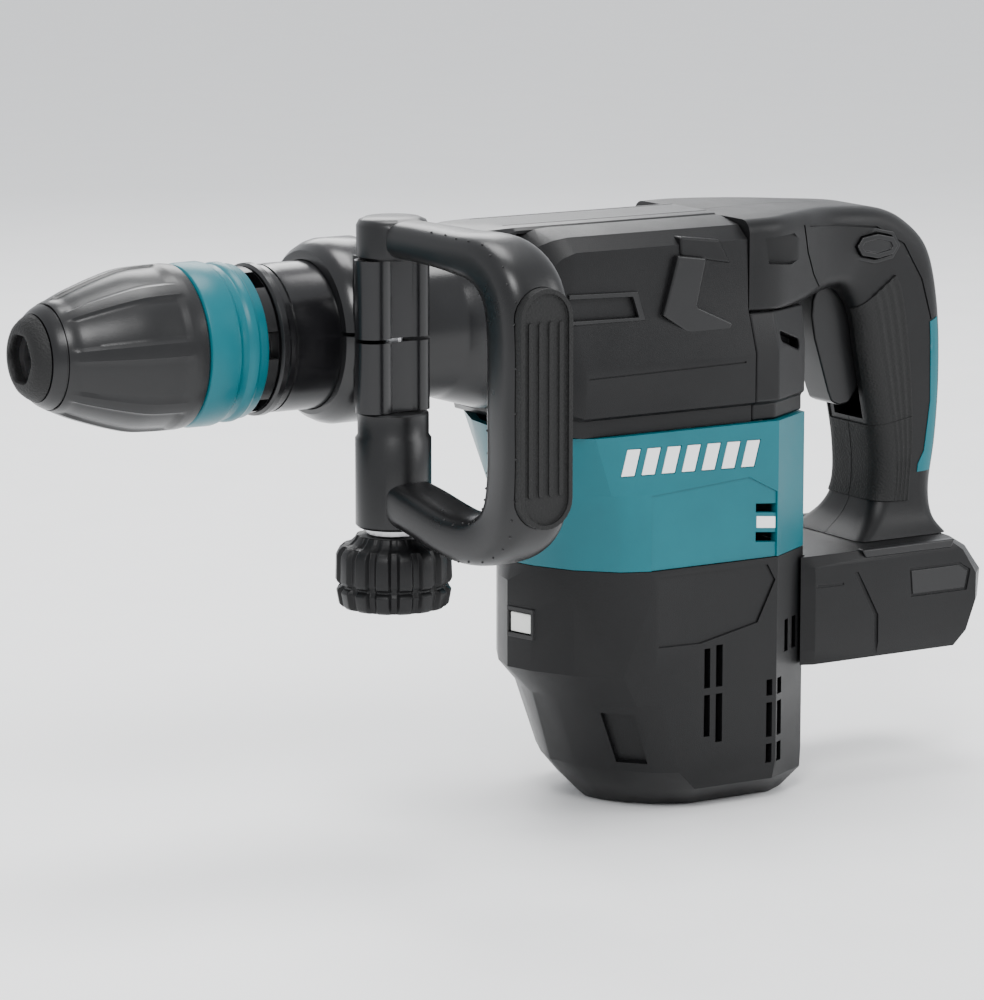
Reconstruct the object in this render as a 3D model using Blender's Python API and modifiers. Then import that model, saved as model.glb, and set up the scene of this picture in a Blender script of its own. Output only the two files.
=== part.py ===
"""Battery-powered demolition hammer with an SDS-max style tool holder.

Lengths are millimetres in tool coordinates: X runs rearward from the nose lip
along the barrel axis, -Y is the side-handle side and Z is height above the
barrel axis.  place() turns them into metres in the part frame, whose origin is
the middle of the flat base of the motor housing.
"""
import math

import bmesh
import bpy
from mathutils import Matrix, Vector

# ---- driving dimensions (mm) ------------------------------------------------
BARREL_HEIGHT = 210.6     # barrel axis above the base
ORIGIN_X = 306.0          # base centre behind the nose lip
GAP = 0.3                 # fitting gap between neighbours

SHANK_BORE = 9.1          # radius of the socket for an 18 mm shank
HOLDER_R = 18.5
FLANGE_R = 22.0           # rear flange of the tool holder
COVER_REAR = 65.6         # rear edge of the release cover
RING_FRONT = 66.0         # teal ring, front and rear edge
RING_REAR = 92.6
SLEEVE_TRAVEL = 6.0
BARREL_FRONT = RING_REAR + SLEEVE_TRAVEL + 0.2
BARREL_R = 30.3
BARREL_REAR = 213.8
CYLINDER_R = 22.2
BORE_R = 18.8             # cylinder bore
PISTON_R = 18.5

CRANK_X = 261.0           # crank axis
CRANK_THROW = 9.0
ROD_LENGTH = 52.0
MOTOR_X = 295.0           # motor axis
GEAR_TEETH = 46
PINION_TEETH = 8
GEAR_MODULE = 2 * (MOTOR_X - CRANK_X) / (GEAR_TEETH + PINION_TEETH)
PIN_X = CRANK_X + CRANK_THROW
WRIST_X = PIN_X - ROD_LENGTH

BODY_HALF = 50.0          # half width of the motor and gear housings
BELT_BOTTOM = -45.4       # joint between upper housing and gear housing
GEAR_BOTTOM = -103.9      # joint between gear housing and motor housing
SEAM_X = 314.0            # joint between upper housing and rear body
ARM_BOTTOM = 0.0          # underside of the rear handle's upper arm
WALL = 4.0
BASE_Z = -BARREL_HEIGHT

GRIP_HALF = 20.0          # half width of the main grip
BLOCK_TOP = -108.4
BLOCK_BOTTOM = -155.5

POST_X = 138.0            # clamp bolt axis of the side handle
POST_Y = -50.0
BOLT_R = 4.0
EAR_TOP = 36.0
EAR_BOTTOM = -25.0
SLEEVE_BOTTOM = -72.0

for leftover in list(bpy.data.objects):
    bpy.data.objects.remove(leftover, do_unlink=True)

PARTS = bpy.data.collections.new("demolition_hammer")
CUTTERS = bpy.data.collections.new("cutters")
bpy.context.scene.collection.children.link(PARTS)
bpy.context.scene.collection.children.link(CUTTERS)


def place(x, y, z):
    """Tool coordinates in millimetres to the part frame in metres."""
    return Vector((x - ORIGIN_X, y, z + BARREL_HEIGHT)) / 1000.0


# ---- materials --------------------------------------------------------------
def material(name, colour, roughness, metallic=0.0):
    mat = bpy.data.materials.new(name)
    mat.use_nodes = True
    bsdf = mat.node_tree.nodes["Principled BSDF"]
    bsdf.inputs["Base Color"].default_value = (*colour, 1.0)
    bsdf.inputs["Roughness"].default_value = roughness
    bsdf.inputs["Metallic"].default_value = metallic
    return mat


BLACK = material("black_plastic", (0.020, 0.020, 0.021), 0.45)
BLACK_COAT = material("black_coated_metal", (0.030, 0.030, 0.032), 0.38, 0.3)
TEAL = material("teal_plastic", (0.0, 0.34, 0.38), 0.35)
RUBBER = material("black_rubber", (0.016, 0.016, 0.016), 0.75)
STEEL = material("ground_steel", (0.55, 0.55, 0.56), 0.30, 1.0)
DARK_STEEL = material("dark_steel", (0.22, 0.22, 0.23), 0.42, 1.0)
ALUMINIUM = material("cast_aluminium", (0.62, 0.62, 0.63), 0.48, 1.0)
COPPER = material("wound_copper", (0.70, 0.33, 0.16), 0.45, 1.0)
LENS = material("lamp_lens", (0.82, 0.84, 0.80), 0.12)
ZINC = material("zinc_screw", (0.48, 0.48, 0.46), 0.35, 1.0)


# ---- builders ---------------------------------------------------------------
# A builder called with no material makes a cutter or a piece to be joined on.
def add_object(name, data, mat):
    obj = bpy.data.objects.new(name, data)
    (PARTS if mat else CUTTERS).objects.link(obj)
    if mat:
        data.materials.append(mat)
    else:
        obj.hide_render = True
        obj.display_type = "WIRE"
    return obj


def from_bmesh(name, bm, mat, location=(0, 0, 0)):
    bmesh.ops.recalc_face_normals(bm, faces=bm.faces)
    mesh = bpy.data.meshes.new(name)
    bm.to_mesh(mesh)
    bm.free()
    obj = add_object(name, mesh, mat)
    obj.location = location
    return obj


def boxes(name, extents, mat=None):
    """One or more boxes, each given as x0, x1, y0, y1, z0, z1."""
    bm = bmesh.new()
    for x0, x1, y0, y1, z0, z1 in extents:
        low, high = place(x0, y0, z0), place(x1, y1, z1)
        size = Matrix.Diagonal((*(high - low), 1.0))
        bmesh.ops.create_cube(bm, size=1.0, matrix=Matrix.Translation((low + high) / 2) @ size)
    return from_bmesh(name, bm, mat)


AXES = {"X": Matrix.Rotation(-math.pi / 2, 4, "Y"), "Y": Matrix.Rotation(math.pi / 2, 4, "X"),
        "Z": Matrix.Identity(4)}


def cylinder(name, axis, start, end, radius, mat=None, sides=20, x=0.0, y=0.0, z=0.0):
    """A round bar along an axis from start to end, centred on the other two coordinates."""
    middle = {"X": (0.5 * (start + end), y, z), "Y": (x, 0.5 * (start + end), z),
              "Z": (x, y, 0.5 * (start + end))}[axis]
    bm = bmesh.new()
    bmesh.ops.create_cone(bm, cap_ends=True, segments=sides, radius1=radius / 1000,
                          radius2=radius / 1000, depth=abs(end - start) / 1000)
    obj = from_bmesh(name, bm, mat, place(*middle))
    obj.rotation_euler = AXES[axis].to_euler()
    return obj


def turned(name, axis, profile, mat=None, sides=28, x=0.0, y=0.0, z=0.0, bore=False):
    """A profile of (position along the axis, radius) turned by a Screw modifier.

    With bore the profile is a closed loop clear of the axis; otherwise it is
    closed onto the axis at both ends.  The outer side is listed first, from
    low to high positions.
    """
    points = list(profile)
    if not bore:
        points = [(points[0][0], 0.0)] + points + [(points[-1][0], 0.0)]
    flip = -1.0 if axis == "X" else 1.0
    mesh = bpy.data.meshes.new(name)
    verts = [(r / 1000, 0.0, flip * a / 1000) for a, r in points]
    edges = [(i, i + 1) for i in range(len(points) - 1)]
    if bore:
        edges.append((len(points) - 1, 0))
    if flip > 0:
        edges = [(b, a) for a, b in edges]
    mesh.from_pydata(verts, edges, [])
    obj = add_object(name, mesh, mat)
    obj.location = place(0, y, z) if axis == "X" else place(x, y, 0)
    obj.rotation_euler = (0.0, -math.pi / 2, 0.0) if axis == "X" else (0.0, 0.0, 0.0)
    screw = obj.modifiers.new("turn", "SCREW")
    screw.axis = "Z"
    screw.angle = 2 * math.pi
    screw.steps = sides
    screw.render_steps = sides
    screw.use_merge_vertices = True
    screw.merge_threshold = 1e-6
    return obj


def curve_solid(name, curve, mat):
    """A curve object turned into a welded mesh, so that it can be cut and joined."""
    temp = bpy.data.objects.new(name + "_curve", curve)
    bpy.context.scene.collection.objects.link(temp)
    bpy.context.view_layer.update()
    evaluated = temp.evaluated_get(bpy.context.evaluated_depsgraph_get())
    mesh = bpy.data.meshes.new_from_object(evaluated)
    bm = bmesh.new()
    bm.from_mesh(mesh)
    bmesh.ops.remove_doubles(bm, verts=bm.verts, dist=1e-7)
    bpy.data.objects.remove(temp, do_unlink=True)
    return from_bmesh(name, bm, mat)


def plate_y(name, outline, y0, y1, mat=None):
    """A flat XZ outline with thickness from y0 to y1, drawn as a filled 2-D curve."""
    curve = bpy.data.curves.new(name, "CURVE")
    curve.dimensions = "2D"
    curve.fill_mode = "BOTH"
    curve.extrude = abs(y1 - y0) / 2000
    spline = curve.splines.new("POLY")
    spline.points.add(len(outline) - 1)
    for point, (x, z) in zip(spline.points, outline):
        spot = place(x, 0, z)
        point.co = (spot.x, spot.z, 0.0, 1.0)
    spline.use_cyclic_u = True
    obj = curve_solid(name, curve, mat)
    upright = Matrix.Rotation(math.pi / 2, 4, "X")
    obj.data.transform(Matrix.Translation((0, (y0 + y1) / 2000, 0)) @ upright)
    return obj


def coil(name, x0, x1, radius, wire, turns, mat, y=0.0, z=0.0, steps=10):
    """A compression spring along X."""
    curve = bpy.data.curves.new(name, "CURVE")
    curve.dimensions = "3D"
    curve.bevel_depth = wire / 1000
    curve.bevel_resolution = 0
    curve.use_fill_caps = True
    total = turns * steps
    spline = curve.splines.new("POLY")
    spline.points.add(total)
    for i, point in enumerate(spline.points):
        angle = 2 * math.pi * i / steps
        x = x0 + wire + (x1 - x0 - 2 * wire) * i / total
        spot = place(x, y + radius * math.cos(angle), z + radius * math.sin(angle))
        point.co = (*spot, 1.0)
    return curve_solid(name, curve, mat)


def loft(name, rings, mat=None, closed=False):
    """Skin equal-length rings; ends are capped unless the rings form a loop."""
    bm = bmesh.new()
    rows = [[bm.verts.new(place(*p)) for p in ring] for ring in rings]
    pairs = list(zip(rows, rows[1:] + rows[:1])) if closed else list(zip(rows, rows[1:]))
    for low, high in pairs:
        for j in range(len(low)):
            k = (j + 1) % len(low)
            bm.faces.new((low[j], low[k], high[k], high[j]))
    if not closed:
        bm.faces.new(rows[0][::-1])
        bm.faces.new(rows[-1])
    return from_bmesh(name, bm, mat)


def mirrored(half):
    """Full plan outline from its +Y half, first and last points on y = 0."""
    return half + [(x, -y) for x, y in reversed(half[1:-1])]


def inset(outline, d):
    """Offset a closed outline inward by d with mitred corners."""
    area = sum(a[0] * b[1] - b[0] * a[1] for a, b in zip(outline, outline[1:] + outline[:1]))
    side = 1.0 if area > 0 else -1.0
    out = []
    for i, p in enumerate(outline):
        e1 = (Vector(p) - Vector(outline[i - 1])).normalized()
        e2 = (Vector(outline[(i + 1) % len(outline)]) - Vector(p)).normalized()
        n1, n2 = Vector((-e1.y, e1.x)), Vector((-e2.y, e2.x))
        shift = (n1 + n2) * (side * d / (1.0 + n1.dot(n2)))
        out.append((p[0] + shift.x, p[1] + shift.y))
    return out


def at_height(outline, z):
    return [(x, y, z) for x, y in outline]


def combine(target, tool, operation):
    tool.hide_render = True
    tool.display_type = "WIRE"
    mod = target.modifiers.new(tool.name, "BOOLEAN")
    mod.object = tool
    mod.operation = operation
    mod.solver = "EXACT"


def cut(target, tool):
    combine(target, tool, "DIFFERENCE")


def join(target, tool):
    combine(target, tool, "UNION")


# ---- chuck ------------------------------------------------------------------
def build_chuck():
    turned("dust_cap", "X", [(-2, 9.5), (-2, 12.8), (-0.8, 14.6), (3.7, 17.7), (3.7, 9.5)],
           RUBBER, bore=True)
    holder = turned("tool_holder", "X", [
        (4.2, SHANK_BORE), (4.2, 15.5), (30, 16), (31, HOLDER_R), (90, HOLDER_R), (90, FLANGE_R),
        (118.5, FLANGE_R), (118.5, 13.3), (92, 13.3), (92, SHANK_BORE)], STEEL, bore=True)
    cut(holder, boxes("roller_windows", [(47, 63, -4, 4, 7, 20), (47, 63, -4, 4, -20, -7)]))
    for tag, side in (("upper", 1), ("lower", -1)):
        cylinder("lock_roller_" + tag, "X", 48, 62, 3.4, STEEL, 12, z=13.3 * side)
    turned("release_cover", "X", [
        (4.2, 18.2), (7, 20), (15.7, 24.2), (24.4, 27.4), (33.2, 30.2), (42, 32.4), (51, 33.1),
        (62, 33.3), (COVER_REAR, 32), (COVER_REAR, 27), (20, 19.5), (4.2, 16.2)], BLACK, 32, bore=True)
    turned("release_ring", "X", [
        (RING_FRONT, 31.2), (68, 32.8), (76, 33.1), (79.5, 32.6), (81.5, 31.2), (84, 31.2),
        (85.5, 31.9), (91, 31.7), (RING_REAR, 30.9), (RING_REAR, 30), (79.5, 30), (79.5, 24.5),
        (69.6, 24.5), (69.6, 19.2), (RING_FRONT, 19.2)], TEAL, 32, bore=True)
    ring = turned("change_ring", "X", [
        (88, 22.4), (88, 29), (88.8, 29.6), (97.6, 29.6), (98.3, 29), (98.3, 22.4)], BLACK, 32, bore=True)
    notches = bmesh.new()
    for i in range(6):
        turn = Matrix.Rotation(math.radians(60 * i - 3), 4, "X")
        spot = place(95.4, 0, 0)
        size = Matrix.Diagonal((0.0046, 0.014, 0.011, 1.0))
        offset = Matrix.Translation((0, 0.0275, 0))
        bmesh.ops.create_cube(notches, size=1.0, matrix=Matrix.Translation(spot) @ turn @ offset @ size)
    cut(ring, from_bmesh("ring_notches", notches, None))
    coil("release_spring", 69.9, 89.7, 20.6, 1.1, 4, STEEL)


# ---- barrel and striking train ----------------------------------------------
def build_barrel():
    turned("barrel_housing", "X", [
        (BARREL_FRONT, 22.6), (BARREL_FRONT, 30), (BARREL_FRONT + 1, 31), (102, 31), (103, BARREL_R),
        (184, BARREL_R), (BARREL_REAR, 38.2), (BARREL_REAR, 22.6)], BLACK_COAT, 36, bore=True)
    turned("impact_bolt", "X", [(73, 8.4), (97, 8.4), (97, 12.8), (112, 12.8), (114, 9), (131, 9)], STEEL, 20)
    turned("cylinder", "X", [
        (118.9, 9.5), (118.9, CYLINDER_R), (231, CYLINDER_R), (231, BORE_R), (124, BORE_R),
        (122, 9.5)], STEEL, bore=True)
    turned("striker", "X", [(140, 9.5), (143, 12), (148, PISTON_R), (163.5, PISTON_R)], DARK_STEEL, 24)
    piston = turned("piston", "X", [(183, 17.5), (184, PISTON_R), (WRIST_X + 10, PISTON_R)], ALUMINIUM, 24)
    cut(piston, cylinder("piston_hollow", "X", 190, WRIST_X + 20, 15.5))
    cylinder("wrist_pin", "Z", -6.2, 6.2, 2.8, STEEL, 12, x=WRIST_X)


def rod_outline():
    small = [(WRIST_X, 4.6, math.radians(d)) for d in range(90, 271, 30)]
    big = [(PIN_X, 9.0, math.radians(d)) for d in (-130, -95, -60, -25, 0, 25, 60, 95, 130)]
    return [(x + r * math.cos(a), r * math.sin(a)) for x, r, a in small + big]


def gear_outline(teeth, pitch_r, x, turn):
    points = []
    for i in range(teeth):
        for part, r in ((-0.29, pitch_r - 1.5), (-0.15, pitch_r + 0.95),
                        (0.15, pitch_r + 0.95), (0.29, pitch_r - 1.5)):
            a = 2 * math.pi * (i + part + turn) / teeth
            points.append((x + r * math.cos(a), r * math.sin(a)))
    return points


# ---- crank train ------------------------------------------------------------
def build_crank_train():
    rod = loft("connecting_rod", [at_height(rod_outline(), z) for z in (-4.5, 4.5)], ALUMINIUM)
    cut(rod, cylinder("rod_big_bore", "Z", -9, 9, 5.3, sides=16, x=PIN_X))
    cut(rod, cylinder("rod_small_bore", "Z", -9, 9, 3.1, sides=12, x=WRIST_X))
    crank = turned("crankshaft", "Z", [(-60, 6.7), (-13.4, 6.7), (-13.4, 16), (-6, 16)],
                   DARK_STEEL, 20, x=CRANK_X)
    join(crank, cylinder("crank_pin", "Z", -8, 6.5, 5, sides=16, x=PIN_X))
    wheel = gear_outline(GEAR_TEETH, GEAR_MODULE * GEAR_TEETH / 2, CRANK_X, 0.5)
    gear = loft("crank_gear", [at_height(wheel, -42), at_height(wheel, -31)], DARK_STEEL)
    cut(gear, cylinder("gear_bore", "Z", -50, -20, 7.0, x=CRANK_X))
    for tag, bottom, top, r in (("upper", -26, -14, 16), ("lower", -58, -47, 13)):
        turned("crank_bearing_" + tag, "Z", [(bottom, r), (top, r), (top, 7), (bottom, 7)],
               STEEL, 20, x=CRANK_X, bore=True)
    plate = boxes("bearing_plate", [(232, 308, -33.5, 33.5, -27, -14.6)], ALUMINIUM)
    cut(plate, cylinder("plate_bore", "Z", -40, 0, 16.3, x=CRANK_X))
    cut(plate, boxes("plate_pocket", [(284, 312, -24, 24, -40, -19)]))
    case_plan = mirrored([(240, 0), (240, 22), (252, 38), (326, 38), (326, 0)])
    case = loft("gear_case", [at_height(case_plan, -76), at_height(case_plan, -46.4)], ALUMINIUM)
    cut(case, cylinder("case_crank_bore", "Z", -60.5, -40, 13.3, x=CRANK_X))
    cut(case, cylinder("case_shaft_bore", "Z", -63, -40, 6.6, sides=16, x=MOTOR_X))
    cut(case, cylinder("case_motor_bore", "Z", -80, -62.6, 11.3, x=MOTOR_X))


# ---- motor ------------------------------------------------------------------
def build_motor():
    pinion = gear_outline(PINION_TEETH, GEAR_MODULE * PINION_TEETH / 2, MOTOR_X, 0.0)
    shaft = loft("rotor_shaft", [at_height(pinion, -46), at_height(pinion, -29)], STEEL)
    join(shaft, turned("shaft_rod", "Z", [(-199, 4), (-45.5, 4), (-45.2, 3.2)], sides=16, x=MOTOR_X))
    for tag, bottom in (("upper", -72), ("lower", -200)):
        top = bottom + 9
        turned("motor_bearing_" + tag, "Z", [(bottom, 11), (top, 11), (top, 4.3), (bottom, 4.3)],
               STEEL, 20, x=MOTOR_X, bore=True)
    turned("rotor", "Z", [(-176, 17), (-112, 17), (-112, 4.3), (-176, 4.3)],
           DARK_STEEL, 24, x=MOTOR_X, bore=True)
    turned("stator", "Z", [(-180, 29), (-172, 33), (-116, 33), (-108, 29), (-108, 17.8), (-180, 17.8)],
           COPPER, x=MOTOR_X, bore=True)
    blades = []
    for i in range(9):
        for part, r in ((0.0, 9.0), (0.06, 29.0), (0.26, 29.0), (0.5, 9.0)):
            a = 2 * math.pi * (i + part) / 9
            blades.append((MOTOR_X + r * math.cos(a), r * math.sin(a)))
    fan = loft("cooling_fan", [at_height(blades, -100), at_height(blades, -88)], BLACK)
    join(fan, cylinder("fan_hub", "Z", -103, -85, 10, sides=16, x=MOTOR_X))
    cut(fan, cylinder("fan_bore", "Z", -110, -80, 4.3, sides=16, x=MOTOR_X))


# ---- housings ---------------------------------------------------------------
REAR_PLAN = [(326, BODY_HALF), (349, 36), (352, 0)]

NOSE_SECTION = [(0, 38.4), (15, 37), (27, 30), (36.5, 18), (40.5, 2), (40, -12), (36, -24),
                (31, -32), (25, -40), (0, -40)]
BODY_SECTION = [(0, 39.2), (22, 39.2), (36, 36.6), (43, 31), (44, 2), (BODY_HALF, -16),
                (BODY_HALF, -37), (47, -38.6), (47, BELT_BOTTOM), (0, BELT_BOTTOM)]


def section_at(x, half):
    """Full YZ section at x from its +Y half."""
    return [(x, y, z) for y, z in half + [(-y, z) for y, z in reversed(half[1:-1])]]


def blend(a, b, t):
    return [(p[0] + (q[0] - p[0]) * t, p[1] + (q[1] - p[1]) * t) for p, q in zip(a, b)]


def shell(name, levels, floor, mat):
    """Hollow loft open at the top; floor None leaves it open below too."""
    outer = [at_height(mirrored(half), z) for z, half in levels]
    inner = [at_height(inset(mirrored(half), WALL), z) for z, half in levels]
    if floor is None:
        return loft(name, outer + inner[::-1], mat, closed=True)
    lip = [ring for ring in inner if ring[0][2] > floor]
    bottom = [(x, y, floor) for x, y, z in lip[0]]
    return loft(name, outer + lip[::-1] + [bottom], mat)


def build_upper_housing():
    upper = loft("upper_housing", [
        section_at(BARREL_REAR + 0.4, NOSE_SECTION),
        section_at(219, blend(NOSE_SECTION, BODY_SECTION, 0.6)),
        section_at(229, BODY_SECTION), section_at(SEAM_X - GAP, BODY_SECTION)], BLACK)
    cut(upper, cylinder("cylinder_bore", "X", 205, 234, 22.6, sides=28))
    cut(upper, boxes("crank_chamber", [(228.5, 310, -34, 34, -50, 34)]))
    cut(upper, boxes("spine_seat", [(205, 330, -20.6, 20.6, 36.9, 50)]))
    plate_y("spine_cover", [(188, 31.4), (212.5, 38.9), (214, 38.9), (214, 37.2), (SEAM_X - GAP, 37.2),
                            (SEAM_X - GAP, 40.2), (197, 40.2), (190, 36.5)], -20, 20, BLACK)
    weight = boxes("counterweight", [(244, 286, -24, 24, 16, 32)], DARK_STEEL)
    cut(weight, boxes("weight_relief", [(256, 274, -30, -14, 10, 24), (256, 274, 14, 30, 10, 24)]))
    coil("damper_spring_front", 229.1, 243.7, 5.2, 1.0, 3, STEEL, z=24)
    coil("damper_spring_rear", 286.3, 309.7, 5.2, 1.0, 4, STEEL, z=24)


def build_rear_cover():
    front = SEAM_X + GAP / 2
    levels = ((BELT_BOTTOM, 47, 33.5), (-38.6, 47, 33.5), (-37, BODY_HALF, 36), (-16, BODY_HALF, 36),
              (ARM_BOTTOM, 44.6, 33.5))
    rings = []
    for z, side, tail in levels:
        half = [(front, 0), (front, side), (326, side), (349, tail), (352, 0)]
        rings.append(at_height(mirrored(half), z))
    loft("rear_cover", rings, BLACK)


def build_gear_housing():
    shell("gear_housing", [
        (GEAR_BOTTOM, [(224, 0), (227, 13), (236, 31), (250, 45), (262, BODY_HALF)] + REAR_PLAN),
        (-71, [(219, 0), (222, 16), (233, 35), (244, 47), (252, BODY_HALF)] + REAR_PLAN),
        (BELT_BOTTOM - 0.4, [(214.5, 0), (217, 20), (227, 43), (235, 48.6), (244, BODY_HALF)] + REAR_PLAN)],
        None, TEAL)


def build_motor_housing():
    upper_front = [(222.5, 0), (226, 13), (236, 31), (251, 46), (264, BODY_HALF)]
    housing = shell("motor_housing", [
        (BASE_Z, [(262, 0), (264, 8), (270, 18), (279, 27), (293, 34), (334, 34), (344, 28), (349, 0)]),
        (-201, [(252, 0), (256, 14), (264, 30), (276, 41), (287, 46.5), (326, 47.5), (348.5, 36),
                (351.5, 0)]),
        (-192, [(244, 0), (248, 14), (256, 31), (268, 45), (277, 49.5)] + REAR_PLAN),
        (-162, [(235, 0), (238, 14), (245, 31), (258, 46), (269, BODY_HALF)] + REAR_PLAN),
        (-149, upper_front + REAR_PLAN), (-112, upper_front + REAR_PLAN),
        (GEAR_BOTTOM - GAP, [(224, 0), (227, 13), (236, 31), (250, 45), (262, BODY_HALF)] + REAR_PLAN)],
        -194, BLACK)
    cut(housing, cylinder("motor_bearing_pocket", "Z", -200.6, -190, 11.3, x=MOTOR_X))
    columns = ((289, 292, ((-157, -140), (-178, -160))), (295, 298.3, ((-157, -139), (-181, -160))),
               (321, 324, ((-164, -157), (-182, -167), (-193.4, -185))),
               (327, 330.6, ((-164, -157), (-182, -167), (-193.4, -185))))
    vents = []
    for side in (-1, 1):
        y0, y1 = sorted((40 * side, 56 * side))
        vents += [(x0, x1, y0, y1, z0, z1) for x0, x1, rows in columns for z0, z1 in rows]
        for x0, x1, inner in ((333, 336, 37), (339.5, 343, 33)):
            y0, y1 = sorted((inner * side, (inner + 14) * side))
            vents.append((x0, x1, y0, y1, -147, -133))
    seat = [(218.8, -13.4), (221.2, -1.2), (227.2, -2.4), (227.2, -13.4)]
    cut(housing, loft("lens_seat", [at_height(seat, z) for z in (-133.8, -124.6)]))
    lens = [(226.0, -13.0), (223.3, -1.8), (226.8, -2.6), (226.8, -13.0)]
    loft("lamp_lens", [at_height(lens, z) for z in (-133.4, -125.0)], LENS)
    cut(housing, cylinder("motor_screw_seat", "Y", 47.5, 60, 3.7, sides=12, x=308, z=-125))
    cylinder("screw_motor", "Y", 47.8, 49.6, 3.4, ZINC, 12, x=308, z=-125)
    cut(housing, boxes("motor_vents", vents))


# ---- battery block ----------------------------------------------------------
def build_battery_block():
    front = [(352.8, 0), (349.8, 36.6), (345.4, 39.6)]
    levels = ((BLOCK_BOTTOM, 426, 42, 433, 436), (-149, 432, 43, 439, 442), (-136, 437, 43, 444, 447),
              (-124, 437, 43, 445, 448), (-113, 430, 42.5, 437, 440), (BLOCK_TOP, 424, 40, 430, 433))
    block = loft("battery_block", [
        at_height(mirrored(front + [(351, side), (corner, side), (rear, side - 8), (tail, 0)]), z)
        for z, corner, side, rear, tail in levels], BLACK)
    cut(block, boxes("block_cavity", [(360, 428, -34, 34, -170, -118)]))
    terminals = boxes("terminal_block", [(374, 412, -17, 17, -150, -118.3)], BLACK)
    slots = [(380, 420, y - 1.2, y + 1.2, -160, -132) for y in (-11, -4, 4, 11)]
    cut(terminals, boxes("terminal_slots", slots))
    for tag, side in (("left", -1), ("right", 1)):
        y0, y1 = sorted((29.5 * side, 33.7 * side))
        boxes("battery_rail_" + tag, [(362, 426, y0, y1, -154, -149.5)], STEEL)


# ---- rear handle ------------------------------------------------------------
# each station: inner edge (x, z), outer edge (x, z), half width, inner and outer corner size
HANDLE = [
    ((SEAM_X + GAP / 2, 0.3), (SEAM_X + GAP / 2, 39.0), 44, 2, 6),
    ((330, 0.3), (330, 39.2), 43.5, 2, 6),
    ((349, 1), (350, 39.4), 35, 4, 7),
    ((366, 2.5), (371, 38.8), 26, 6, 8),
    ((377, 3), (400, 36.3), 22, 7, 9),
    ((384, -1), (417, 29.5), 20.5, 8, 9),
    ((389, -10), (429.5, 16.5), GRIP_HALF, 8, 9),
    ((392, -26), (435.5, -8), GRIP_HALF, 8, 9),
    ((396.5, -48), (437, -38), GRIP_HALF, 8, 9),
    ((400.5, -70), (435.5, -66), GRIP_HALF, 8, 9),
    ((400.5, -88), (432, -88), GRIP_HALF, 8, 8),
    ((396, -99), (431.5, -101), 22, 7, 7),
    ((386, -108.1), (434, -108.1), 27, 5, 5)]

TRIGGER_SLOT = [(364, -54), (410, -58), (428, -46), (426, -6), (410, 14), (378, 14), (368, 2), (364, 2)]
PAD = [(404, -24), (424, -14), (427.3, -30), (427.3, -58), (424, -90), (410, -92), (409, -70), (406, -45)]
ACCENT = [(430, -16), (433.2, -24), (434.2, -45), (432.8, -64), (427.6, -78), (429.6, -62), (431, -45)]
BUTTON = [(384.5, 21), (387, 17), (395.5, 15.2), (403.5, 16.6), (406, 20), (403.5, 24), (395.5, 25.8),
          (387.5, 24.8)]
TRIGGER = [(380, 9), (372, -2), (373, -16), (382, -47), (385, -50), (392, -50.5), (396, -44), (403, -25),
           (405, -5), (402, 6), (394, 11)]
TRIGGER_PIVOT = (398, 4)


def handle_ring(station, side):
    (xi, zi), (xo, zo), half, c_in, c_out = station
    inner, outer = Vector((xi, zi)), Vector((xo, zo))
    length = (outer - inner).length
    along = (outer - inner) / length
    ring = []
    for s, w in ((0, GAP / 2), (0, half - c_in), (c_in * 0.35, half - c_in * 0.3), (c_in * 1.1, half),
                 (length - c_out * 1.1, half), (length - c_out * 0.35, half - c_out * 0.3),
                 (length, half - c_out), (length, GAP / 2)):
        p = inner + along * s
        ring.append((p.x, side * w, p.y))
    return ring


def build_handle():
    slot = plate_y("trigger_slot", TRIGGER_SLOT, -10.4, 10.4)
    pivot_x, pivot_z = TRIGGER_PIVOT
    for tag, side in (("left", -1), ("right", 1)):
        half_shell = loft("handle_" + tag, [handle_ring(s, side) for s in HANDLE], BLACK)
        cut(half_shell, slot)
        cut(half_shell, cylinder("pin_bore_" + tag, "Y", side * 5, side * 14, 1.8, sides=12,
                                 x=pivot_x, z=pivot_z))
        for label, outline, mat in (("grip_pad_", PAD, RUBBER), ("accent_", ACCENT, TEAL)):
            cut(half_shell, plate_y(label + "seat_" + tag, inset(outline, -GAP), side * 16.2, side * 30))
            plate_y(label + tag, outline, side * 16.5, side * (GRIP_HALF + 0.2), mat)
        if side < 0:
            cut(half_shell, plate_y("button_seat", inset(BUTTON, -GAP), -30, -11.4))
    plate_y("lock_button", BUTTON, -15, -24, BLACK)
    trigger = plate_y("trigger", TRIGGER, -9, 9, BLACK)
    cut(trigger, cylinder("trigger_bore", "Y", -20, 20, 1.8, sides=12, x=pivot_x, z=pivot_z))
    cylinder("trigger_pin", "Y", -13.6, 13.6, 1.5, STEEL, 12, x=pivot_x, z=pivot_z)
    boxes("switch_body", [(411, 424, -8.5, 8.5, -44, -12)], BLACK)
    right = bpy.data.objects["handle_right"]
    screws = (("upper_front", 338, 28, 39.8), ("upper_rear", 408, 20, 20.4), ("lower", 418, -95, 20.8))
    for tag, x, z, y in screws:
        cut(right, cylinder("screw_seat_" + tag, "Y", y - 9, y + 8, 3.7, sides=12, x=x, z=z))
        cylinder("screw_" + tag, "Y", y - 8.7, y - 4, 3.4, ZINC, 12, x=x, z=z)


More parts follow.
